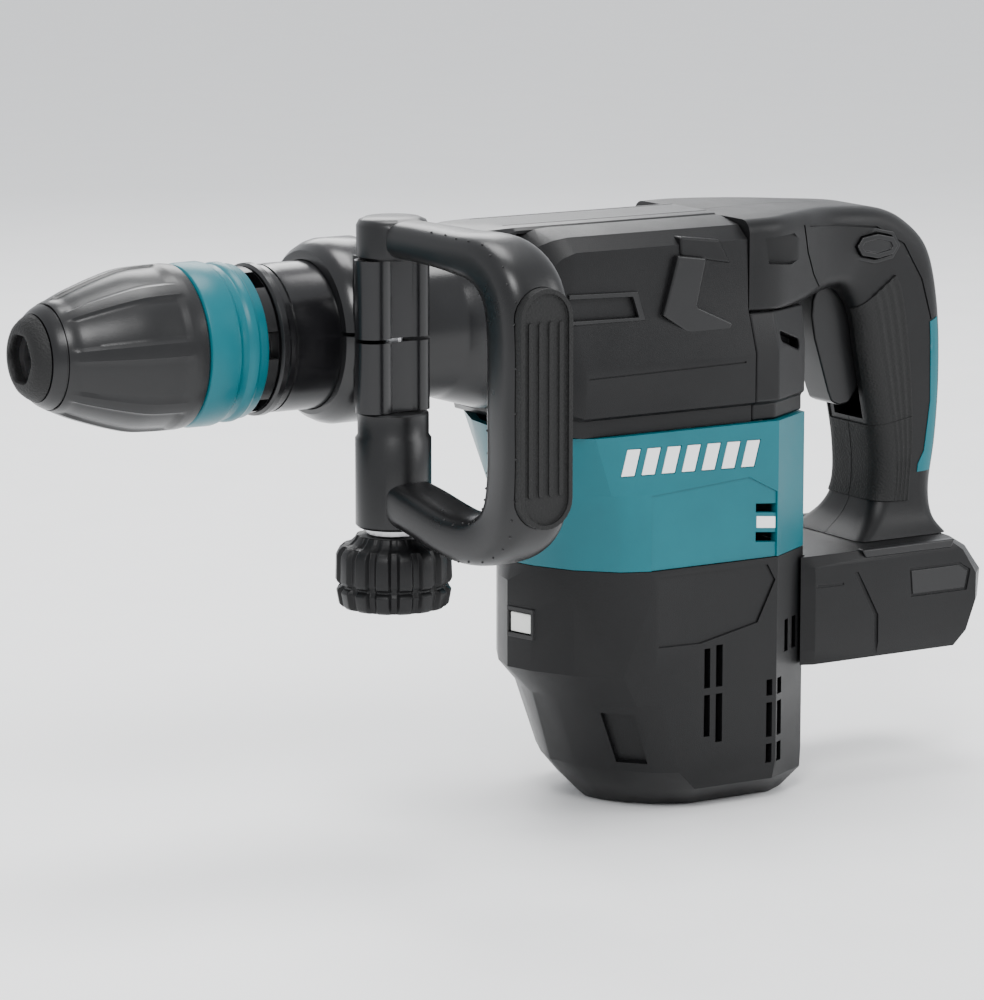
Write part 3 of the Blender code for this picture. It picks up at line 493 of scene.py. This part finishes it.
def build_upper():
    stations = [(214.2, 0.0), (216, 0.18), (219, 0.55), (223, 0.84), (229, 1.0), (313.7, 1.0)]
    rings = [section_at(x, blended(NOSE_SECTION, BODY_SECTION, t)) for x, t in stations]
    upper = skin("upper_housing_v", rings, BLACK)
    carve(upper, [bar("bore", "X", 205, 234, 22.6), boxes("chamber", [(228.5, 310, -34, 34, -50, 34)]),
                  boxes("spine_seat", [(205, 330, -20.6, 20.6, 36.9, 50)])])
    cuts = both_sides("slot", [(226, 12.2), (255.5, 11.2), (258.5, 2.4), (226, 3.0)], 42.4, 60)
    cuts += both_sides("line_a", [(229, 33.2), (277, 33.2), (277, 32.4), (229, 32.4)], 41.4, 60)
    cuts += both_sides("belt_line", [(231, -20.2), (309, -19.2), (309, -19.9), (231, -20.9)], 49.5, 60)
    carve(upper, cuts)
    fit(upper, "housing", ["upper_housing"], 0.9)
    chevron = [(277, 27), (291, 25), (286.4, 5), (304.5, -3.2), (300, -13), (281, -5), (269.5, 2.4),
               (272.5, 12)]
    brow = [(279, 34.5), (299, 32), (305, 21.5), (293.5, 23.6), (279.6, 26)]
    lip = [(224.5, 14.2), (258, 13.2), (262, 1), (224.5, 1.4), (224.5, 3.2), (258.6, 2.5),
           (255.6, 11.2), (224.5, 12.2)]
    mount_all(both_sides("shoulder_rib", chevron, 42.4, 46.4, SATIN), 0.9)
    mount_all(both_sides("brow_panel", brow, 35, 44.2, BLACK), 1.2)
    mount_all(both_sides("frame_lip", lip, 42.5, 44.8, SATIN), 0.4, 2)


def build_spine():
    # Each station has its top, its edge and the barrel radius below, or 0 over the flat top.
    stations = ((188.4, 33.4, 31.6, 31.9), (191, 36.4, 33.8, 32.7), (195, 38.6, 35.6, 33.9),
                (202, 39.8, 37.2, 36.0), (212.8, 40.2, 38.2, 38.3), (213.8, 40.2, 38.2, 38.4),
                (214.2, 40.2, 38.6, 0), (313.7, 40.2, 38.6, 0))
    across = [-20 + 40 * i / 16 for i in range(17)]
    sections = []
    for x, top, edge, r in stations:
        under = [(y, max(math.sqrt(r * r - y * y), 24.0) + 0.2 if r else 37.2) for y in across]
        over = [(20, max(edge, under[-1][1] + 0.4)), (18.4, top - 0.5), (14, top), (0, top), (-14, top),
                (-18.4, top - 0.5), (-20, max(edge, under[0][1] + 0.4))]
        sections.append([(x, y, z) for y, z in under + over])
    spine = skin("spine_cover_v", sections, SATIN)
    carve(spine, [boxes("spine_line", [(212, 320, y - 0.5, y + 0.5, 39.5, 42) for y in (-13, 13)])])
    fit(spine, "housing", ["spine_cover"], 0.8)


def build_rear_cover():
    front = SEAM_X + 0.15
    levels = ((BELT_BOTTOM, 47, 33.5), (-38.6, 47, 33.5), (-37, 50, 36), (-16, 50, 36), (0, 44.6, 33.5))
    rear = skin("rear_cover_v", [
        [(x, y, z) for x, y in mirrored([(front, 0), (front, s), (326, s), (349, t), (352, 0)])]
        for z, s, t in levels], BLACK)
    carve(rear, both_sides("rear_slot", [(329, -8.5), (343.5, -14), (343.5, -18.4), (329, -12.6)], 32, 60))
    fit(rear, "housing", ["rear_cover"], 1.0)


def hollow_shell(name, levels, floor, mat, wall=4.0):
    """Shell through (z, half outline) levels, open at both ends or closed by a floor."""
    outer = [[(x, y, z) for x, y in mirrored(h)] for z, h in levels]
    inner = [[(x, y, z) for x, y in inset(mirrored(h), wall)] for z, h in levels]
    if floor is None:
        return skin(name, outer + inner[::-1], mat, closed=True)
    lip = [ring for ring in inner if ring[0][2] > floor]
    return skin(name, outer + lip[::-1] + [[(x, y, floor) for x, y, z in lip[0]]], mat)


def build_gear():
    gear = hollow_shell("gear_housing_v", [
        (GEAR_BOTTOM, JOIN_PLAN + REAR_PLAN),
        (-71, [(219, 0), (222, 16), (233, 35), (244, 47), (252, 50)] + REAR_PLAN),
        (BELT_BOTTOM - 0.4, [(214.5, 0), (217, 20), (227, 43), (235, 48.6), (244, 50)] + REAR_PLAN)],
        None, TEAL)
    crease = [(262, -72), (311, -68.5), (325.5, -76), (325.5, -110), (262, -110)]
    cuts = both_sides("crease", crease, 49.3, 60)
    slots = [[(315, -80.4), (325.4, -81.2), (325.4, -85.2), (315, -84.2)],
             [(315, -92.6), (325.4, -93.6), (325.4, -97.8), (315, -96.8)]]
    for i, outline in enumerate(slots):
        cuts += both_sides("slot%d" % i, outline, 44, 60)
    marks = []
    for i, x in enumerate((250, 260, 270, 280, 290, 300, 310)):
        top, bottom = -51.5 - i * 0.25, -62.5 - i * 0.25
        marks.append([(x, top), (x + 6.4, top - 0.2), (x + 3.4, bottom - 0.2), (x - 3, bottom)])
    for i, outline in enumerate(marks):
        cuts += both_sides("mark_seat%d" % i, inset(outline, -0.3), 49.4, 60)
    carve(gear, cuts)
    fit(gear, "housing", ["gear_housing"], 0.5)
    vent_bar = [(315.4, -85.8), (325, -86.8), (325, -91.8), (315.4, -90.8)]
    mount_all(both_sides("vent_bar", vent_bar, 48.9, 49.55, WHITE), 0.2, 2)
    for i, outline in enumerate(marks):
        mount_all(both_sides("side_mark%d" % i, outline, 49.2, 49.85, WHITE), 0.15, 2)


FACET_TOP, FACET_BOTTOM = -162, -192
FACET_SHARE = 0.74
FACET_DEPTH = 2.6


def facet_cutter(side):
    """Cutter that sinks the middle of the sloping front face on one side."""
    upper_edge = ((245, 31), (258, 46))
    lower_edge = ((256, 31), (268, 45))
    quad = [Vector((*upper_edge[0], FACET_TOP)), Vector((*upper_edge[1], FACET_TOP)),
            Vector((*lower_edge[1], FACET_BOTTOM)), Vector((*lower_edge[0], FACET_BOTTOM))]
    quad = [Vector((q.x, q.y * side, q.z)) for q in quad]
    centre = sum(quad, Vector()) / 4
    n = (quad[1] - quad[0]).cross(quad[3] - quad[0]).normalized()
    if n.y * side < 0:
        n = -n
    small = [centre + (q - centre) * FACET_SHARE for q in quad]
    return skin("facet", [[tuple(q + n * 4) for q in small], [tuple(q - n * FACET_DEPTH) for q in small]])


def strip(name, y0, y1, z0, z1, mat=None):
    """Bar of the lamp frame that follows the nose of the motor housing."""
    rings = []
    for y in (y0, y1):
        face = 222.5 + 3.5 * abs(y) / 13
        rings.append([(face - 0.7, y, z0), (face + 3, y, z0), (face + 3, y, z1), (face - 0.7, y, z1)])
    return skin(name, rings, mat)


def build_motor():
    front = [(222.5, 0), (226, 13), (236, 31), (251, 46), (264, 50)]
    body = hollow_shell("motor_housing_v", [
        (BASE_Z, [(262, 0), (264, 8), (270, 18), (279, 27), (293, 34), (334, 34), (344, 28), (349, 0)]),
        (-201, [(252, 0), (256, 14), (264, 30), (276, 41), (287, 46.5), (326, 47.5), (348.5, 36),
                (351.5, 0)]),
        (-192, [(244, 0), (248, 14), (256, 31), (268, 45), (277, 49.5)] + REAR_PLAN),
        (-162, [(235, 0), (238, 14), (245, 31), (258, 46), (269, 50)] + REAR_PLAN),
        (-149, front + REAR_PLAN), (-112, front + REAR_PLAN),
        (GEAR_BOTTOM - 0.3, JOIN_PLAN + REAR_PLAN)], -194, BLACK)
    seat = [(218.8, -13.4), (221.2, -1.2), (227.2, -2.4), (227.2, -13.4)]
    first = [skin("lens_seat", [[(x, y, z) for x, y in seat] for z in (-133.8, -124.6)]),
             bar("bearing_pocket", "Z", -200.6, -190, 11.3, x=295),
             bar("screw_seat", "Y", 47.5, 60, 3.7, x=308, z=-125)]
    panel = [(266, -107), (321, -107), (325, -114), (316, -131.5), (287, -137.4), (266, -137)]
    first += both_sides("panel", panel, 49.2, 60)
    first += [facet_cutter(side) for side in (-1, 1)]
    carve(body, first)
    columns = ((289, 292, ((-157, -140), (-178, -160))), (295, 298.3, ((-157, -139), (-181, -160))),
               (321, 324, ((-164, -157), (-182, -167), (-193.4, -185))),
               (327, 330.6, ((-164, -157), (-182, -167), (-193.4, -185))))
    vents = []
    for side in (-1, 1):
        y0, y1 = sorted((40 * side, 56 * side))
        vents += [(x0, x1, y0, y1, z0, z1) for x0, x1, rows in columns for z0, z1 in rows]
        for x0, x1, near in ((333, 336, 37), (339.5, 343, 33)):
            y0, y1 = sorted((near * side, (near + 14) * side))
            vents.append((x0, x1, y0, y1, -147, -133))
    carve(body, [boxes("vents", vents)])
    fit(body, "housing", ["motor_housing"], 0.9)
    lens_plan = ((226.0, -13.0), (223.0, -1.8), (226.8, -2.6), (226.8, -13.0))
    lens_levels = (-133.4, -131.4, -129.2, -127, -125)
    lens = skin("lamp_lens_v", [[(x, y, z) for x, y in lens_plan] for z in lens_levels], LENS)
    fit(lens, "housing", ["lamp_lens"], 0.5)
    lamp_frame = strip("lamp_frame", -14.6, -0.3, -124.6, -122.6, SATIN)
    carve(lamp_frame, [strip("strip_low", -14.6, -0.3, -135.8, -133.8),
                       strip("strip_side", -14.6, -13.4, -135, -123),
                       strip("strip_middle", -1.3, -0.3, -135, -123)], "UNION")
    fit(lamp_frame, "housing", (), 0.35, 2)
    # Painted shade: a dark sheet just inside the motor housing hides the parts within, so the vents read as
    # shaded holes.
    shade_sheet = hollow_shell("motor_shade_sheet", [
        (-190, [(263, 0), (266, 14), (274, 30), (285, 39), (326, 41), (340, 30), (344, 0)]),
        (-108, [(232, 0), (236, 12), (246, 28), (262, 42), (326, 44), (342, 32), (345, 0)])],
        None, VENT_SHADE, 1.2)
    fit(shade_sheet, "housing")


# ---- battery block ----------------------------------------------------------
def build_block():
    front = [(352.8, 0), (349.8, 36.6), (345.4, 39.6)]
    levels = ((-155.5, 426, 42, 433, 436), (-149, 432, 43, 439, 442), (-136, 437, 43, 444, 447),
              (-124, 437, 43, 445, 448), (-113, 430, 42.5, 437, 440), (-108.4, 424, 40, 430, 433))
    block = skin("battery_block_v", [
        [(x, y, z) for x, y in mirrored(front + [(351, s), (corner, s), (rear, s - 8), (tail, 0)])]
        for z, corner, s, rear, tail in levels], BLACK)
    cuts = [boxes("cavity", [(360, 428, -34, 34, -170, -118)])]
    bent_line = [(371.4, -117), (373.6, -117), (384.4, -137), (384.4, -156), (382.2, -156),
                 (382.2, -137.4)]
    badge_seat = [(401, -118.5), (428, -118.5), (434, -122), (432, -131), (402, -131)]
    cuts += both_sides("groove", bent_line, 42.1, 60)
    cuts += both_sides("badge_seat", badge_seat, 42.2, 60)
    front_line = [(352, -121), (366, -121), (366, -122), (352, -122)]
    cuts += both_sides("front_line", front_line, 42.4, 60)
    carve(block, cuts)
    fit(block, "housing", ["battery_block"], 1.0)
    badge = [(402, -119.5), (427.6, -119.5), (432.6, -122.6), (431, -130), (403, -130)]
    mount_all(both_sides("badge", badge, 41.8, 42.8, SATIN), 0.4)
    latch = boxes("latch_button", [(441, 447.2, -13, 13, -131, -120)], SATIN)
    lines = [(446.4, 450, -10, 10, z - 0.5, z + 0.5) for z in (-128, -125.5, -123)]
    carve(latch, [boxes("latch_lines", lines)])
    fit(latch, "housing", (), 0.7)
    ledge = [(376, -107.9), (426, -107.9), (424, -111.5), (378, -111.5)]
    mount_all(both_sides("block_ledge", ledge, 38, 42.3, SATIN), 0.8)


# ---- rear handle ------------------------------------------------------------
# Inner x and z, outer x and z, half width, inner and outer corner radius.
HANDLE = [
    (314.15, 0.3, 314.15, 39.0, 44, 2, 6), (330, 0.3, 330, 39.2, 43.5, 2, 6), (349, 1, 350, 39.4, 35, 4, 7),
    (366, 2.5, 371, 38.8, 26, 6, 8), (377, 3, 400, 36.3, 22, 7, 9), (384, -1, 417, 29.5, 20.5, 8, 10),
    (389, -10, 429.5, 16.5, 20, 8, 10), (392, -26, 435.5, -8, 20, 8, 10), (396.5, -48, 437, -38, 20, 8, 10),
    (400.5, -70, 435.5, -66, 20, 8, 10), (400.5, -88, 432, -88, 20, 8, 9), (396, -99, 431.5, -101, 22, 7, 7),
    (386, -108.1, 434, -108.1, 27, 5, 5)]
SPAN = 8
ARC = 6
SIDE = 28
HALF_GAP = 0.15
PAD_SINK = 0.8
BUTTON = [(384.5, 21), (387, 17), (395.5, 15.2), (403.5, 16.6), (406, 20), (403.5, 24),
          (395.5, 25.8), (387.5, 24.8)]


def handle_ring(row, side):
    """Half of the handle's section, from the inner edge to the outer edge."""
    xi, zi, xo, zo, half, ci, co = row
    inner, outer = Vector((xi, zi)), Vector((xo, zo))
    length = (outer - inner).length
    along = (outer - inner) / length
    turns = [math.pi / 2 * i / ARC for i in range(ARC + 1)]
    pts = [(0, HALF_GAP), (0, half * 0.3)]
    pts += [(ci * (1 - math.cos(a)), half - ci + ci * math.sin(a)) for a in turns]
    pts += [(ci + (length - ci - co) * i / SIDE, half) for i in range(1, SIDE)]
    pts += [(length - co + co * math.sin(a), half - co + co * math.cos(a)) for a in turns]
    pts += [(length, half * 0.3), (length, HALF_GAP)]
    out = []
    for s, w in pts:
        p = inner + along * s
        out.append((p.x, side * w, p.y))
    return out


def groove(points, side, width=0.9, depth=0.8):
    """A cutter that follows points (x, z, half width of the body there) along a side."""
    rings = []
    for i, (x, z, y) in enumerate(points):
        a, b = points[max(i - 1, 0)], points[min(i + 1, len(points) - 1)]
        along = Vector((b[0] - a[0], b[1] - a[1])).normalized()
        nx, nz = -along.y * width / 2, along.x * width / 2
        rings.append([(x + nx, side * (y - depth), z + nz), (x - nx, side * (y - depth), z - nz),
                      (x - nx, side * (y + 5), z - nz), (x + nx, side * (y + 5), z + nz)])
    return skin("groove", rings)


def pad_lift(row, col):
    """Height of a grip pad, with ribs that run along the handle."""
    return 1.2 if (col // 2) % 2 and col > 9 else 0.75


def accent_lift(row, col):
    """Height of a teal accent, the same all over."""
    return 0.35


def patch(name, grid, rows, cols, mat, lift):
    """A raised pad over part of a grid of points; lift(row, col) is its height."""
    bm = bmesh.new()
    top, bottom = {}, {}
    middle = Vector(grid[rows[len(rows) // 2]][len(grid[0]) // 2])
    for i in rows:
        for j in cols:
            p = Vector(grid[i][j])
            du = Vector(grid[min(i + 1, len(grid) - 1)][j]) - Vector(grid[i - 1][j])
            dv = Vector(grid[i][min(j + 1, len(grid[0]) - 1)]) - Vector(grid[i][max(j - 1, 0)])
            n = du.cross(dv).normalized()
            if n.y * middle.y < 0 and abs(n.y) > 0.25:
                n = -n
            elif abs(n.y) <= 0.25:
                centre = Vector(grid[i][2 + ARC + SIDE // 2])
                if n.dot(p - centre) < 0:
                    n = -n
            top[i, j] = bm.verts.new(place(*(p + n * lift(i, j))))
            bottom[i, j] = bm.verts.new(place(*(p - n * PAD_SINK)))
    for a, b in zip(rows, rows[1:]):
        for c, d in zip(cols, cols[1:]):
            bm.faces.new((top[a, c], top[a, d], top[b, d], top[b, c]))
            bm.faces.new((bottom[a, c], bottom[b, c], bottom[b, d], bottom[a, d]))
    for a, b in zip(rows, rows[1:]):
        for c in (cols[0], cols[-1]):
            bm.faces.new((top[a, c], top[b, c], bottom[b, c], bottom[a, c]))
    for c, d in zip(cols, cols[1:]):
        for a in (rows[0], rows[-1]):
            bm.faces.new((top[a, c], top[a, d], bottom[a, d], bottom[a, c]))
    return from_bmesh(name, bm, mat)


def build_handle_half(rows, tag, side):
    """One moulded half of the handle with its two grip pads and its accent."""
    grid = [handle_ring(r, side) for r in rows]
    half = skin("handle_%s_v" % tag, grid, BLACK)
    slot = [(364, -54), (410, -58), (428, -46), (426, -6), (410, 14), (378, 14), (368, 2), (364, 2)]
    recess = [(322, 31), (340, 31.5), (347, 26), (347, 21), (338, 18.5), (324, 20)]
    cuts = [plate("slot", slot, -10.4, 10.4), plate("recess", recess, side * 38.4, side * 60)]
    cuts.append(groove([(348, 34, 35.2), (351, 22, 33.9), (356, 12, 31.4), (362, 4.6, 28.2)], side))
    cuts.append(groove([(352, 33.2, 33.6), (372, 31.6, 25.3), (396, 28.6, 21.2), (412, 20, 20.2),
                        (422, 4, 20.0), (427.4, -14, 20.0)], side, 0.8, 0.7))
    if side < 0:
        cuts.append(plate("button_seat", inset(BUTTON, -0.5), -30, -11.4))
    else:
        cuts += [bar("seat_a", "Y", 30.8, 60, 3.8, x=338, z=28),
                 bar("seat_b", "Y", 11.4, 40, 3.8, x=408, z=20),
                 bar("seat_c", "Y", 11.8, 40, 3.8, x=418, z=-95)]
    carve(half, cuts)
    fit(half, "housing", ["handle_" + tag], 0.6, 2, 40)
    top, split, bottom = 6 * SPAN - 2, 8 * SPAN + 4, 11 * SPAN - 4
    edge = 2 + ARC + int(SIDE * 0.60)
    upper = patch("grip_pad_upper_" + tag, grid, list(range(top, split + 1)), list(range(3, edge)),
                  RUBBER, pad_lift)
    fit(upper, "housing", ["grip_pad_" + tag], 0.25, 2, 40)
    lower = patch("grip_pad_lower_" + tag, grid, list(range(split, bottom)), list(range(0, edge)),
                  RUBBER, pad_lift)
    fit(lower, "housing", ["grip_pad_" + tag], 0.25, 2, 40)
    accent = patch("accent_%s_v" % tag, grid, list(range(7 * SPAN + 1, 9 * SPAN + 6)),
                   list(range(edge + 7, 2 + ARC + SIDE + 3)), TEAL, accent_lift)
    bite = [(414, -8), (426.4, -8), (427.2, -24), (427.6, -50), (424.6, -72), (418, -84), (410, -84)]
    carve(accent, [plate("bite", bite, side * 10, side * 30)])
    fit(accent, "housing", ["accent_" + tag], 0.2, 2, 40)


def build_handle():
    rows = spline(HANDLE, SPAN)
    for tag, side in (("left", -1), ("right", 1)):
        build_handle_half(rows, tag, side)


def build_controls():
    trigger = plate("trigger_v", [
        (380, 9), (375, 4), (372, -3), (371.6, -10), (373.4, -20), (377.5, -33), (381, -44),
        (383, -48.6), (387, -50.3), (392, -49.6), (396, -44), (403, -25), (405, -5), (402, 6),
        (394, 11)], -9, 9, SATIN)
    carve(trigger, [bar("trigger_bore", "Y", -20, 20, 1.8, x=398, z=4)])
    fit(trigger, "trigger", ["trigger"], 2.2, 4)
    cap = plate("lock_button_v", BUTTON, -15, -24, SATIN)
    carve(cap, [plate("dish", inset(BUTTON, 2.2), -23.2, -30)])
    fit(cap, "lock_button", ["lock_button"], 0.5)
    ring = plate("button_ring", inset(BUTTON, -2.4), -19.6, -22, SATIN)
    carve(ring, [plate("ring_hole", inset(BUTTON, -0.6), -10, -30)])
    fit(ring, "housing", (), 0.5)


def build_screws():
    for label, x, z, y in (("screw_upper_front", 338, 28, 39.8), ("screw_upper_rear", 408, 20, 20.4),
                           ("screw_lower", 418, -95, 20.8), ("screw_motor", 308, -125, 56.5)):
        lift = 0.0 if label == "screw_motor" else 2.6
        head = bar(label + "_v", "Y", y - 8.7, y - 6.9 + lift, 3.3, ZINC, x=x, z=z)
        star = []
        for i in range(12):
            r = 1.9 if i % 2 else 1.35
            star.append((x + r * math.cos(math.pi * i / 6), z + r * math.sin(math.pi * i / 6)))
        carve(head, [plate("star", star, y - 7.9 + lift, y)])
        fit(head, "housing", [label], 0.3, 2)


build_chuck()
build_barrel()
build_side_handle()
build_upper()
build_spine()
build_rear_cover()
build_gear()
build_motor()
build_block()
build_handle()
build_controls()
build_screws()

# ---- floor, light and camera ------------------------------------------------
FLOOR_HALF = 6.0
FLOOR_DROP = -0.0005
WORLD_STRENGTH = 1.15
LAMPS = (("key", (-0.9, -1.3, 1.5), 0.7, 30), ("fill", (1.4, -1.2, 0.8), 0.9, 14),
         ("top", (0.1, 0.3, 1.7), 0.8, 24), ("rim", (0.6, 1.5, 1.0), 0.8, 14))
LENS_LENGTH = 164.16
SENSOR_WIDTH = 36
CAMERA_YAW = -31.5
CAMERA_TILT = 10.5

bm = bmesh.new()
bmesh.ops.create_grid(bm, x_segments=8, y_segments=8, size=FLOOR_HALF)
PALE = surface("floor_pale", (0.93, 0.93, 0.93), (0.95, 0.95, 0.95), 0.6, 0.05, bump=0.02)
floor = from_bmesh("floor", bm, PALE)
floor.location.z = FLOOR_DROP

world = bpy.data.worlds.new("studio")
world.use_nodes = True
world.node_tree.nodes["Background"].inputs["Color"].default_value = (0.95, 0.97, 1.0, 1)
world.node_tree.nodes["Background"].inputs["Strength"].default_value = WORLD_STRENGTH
bpy.context.scene.world = world
centre = place(230, -20, -60)
for name, spot, size, power in LAMPS:
    lamp = bpy.data.lights.new(name, "AREA")
    lamp.energy = power
    lamp.size = size
    holder = bpy.data.objects.new(name, lamp)
    holder.location = centre + Vector(spot)
    holder.rotation_euler = (-Vector(spot)).to_track_quat("-Z", "Y").to_euler()
    bpy.context.scene.collection.objects.link(holder)

camera_data = bpy.data.cameras.new("camera")
camera_data.lens = LENS_LENGTH
camera_data.sensor_width = SENSOR_WIDTH
camera = bpy.data.objects.new("camera", camera_data)
bpy.context.scene.collection.objects.link(camera)
yaw, tilt = math.radians(CAMERA_YAW), math.radians(CAMERA_TILT)
back = Vector((math.sin(yaw) * math.cos(tilt), -math.cos(yaw) * math.cos(tilt), math.sin(tilt)))
camera.location = place(-766.14, -1600.87, 271.04)
camera.rotation_euler = (-back).to_track_quat("-Z", "Y").to_euler()
bpy.context.scene.camera = camera
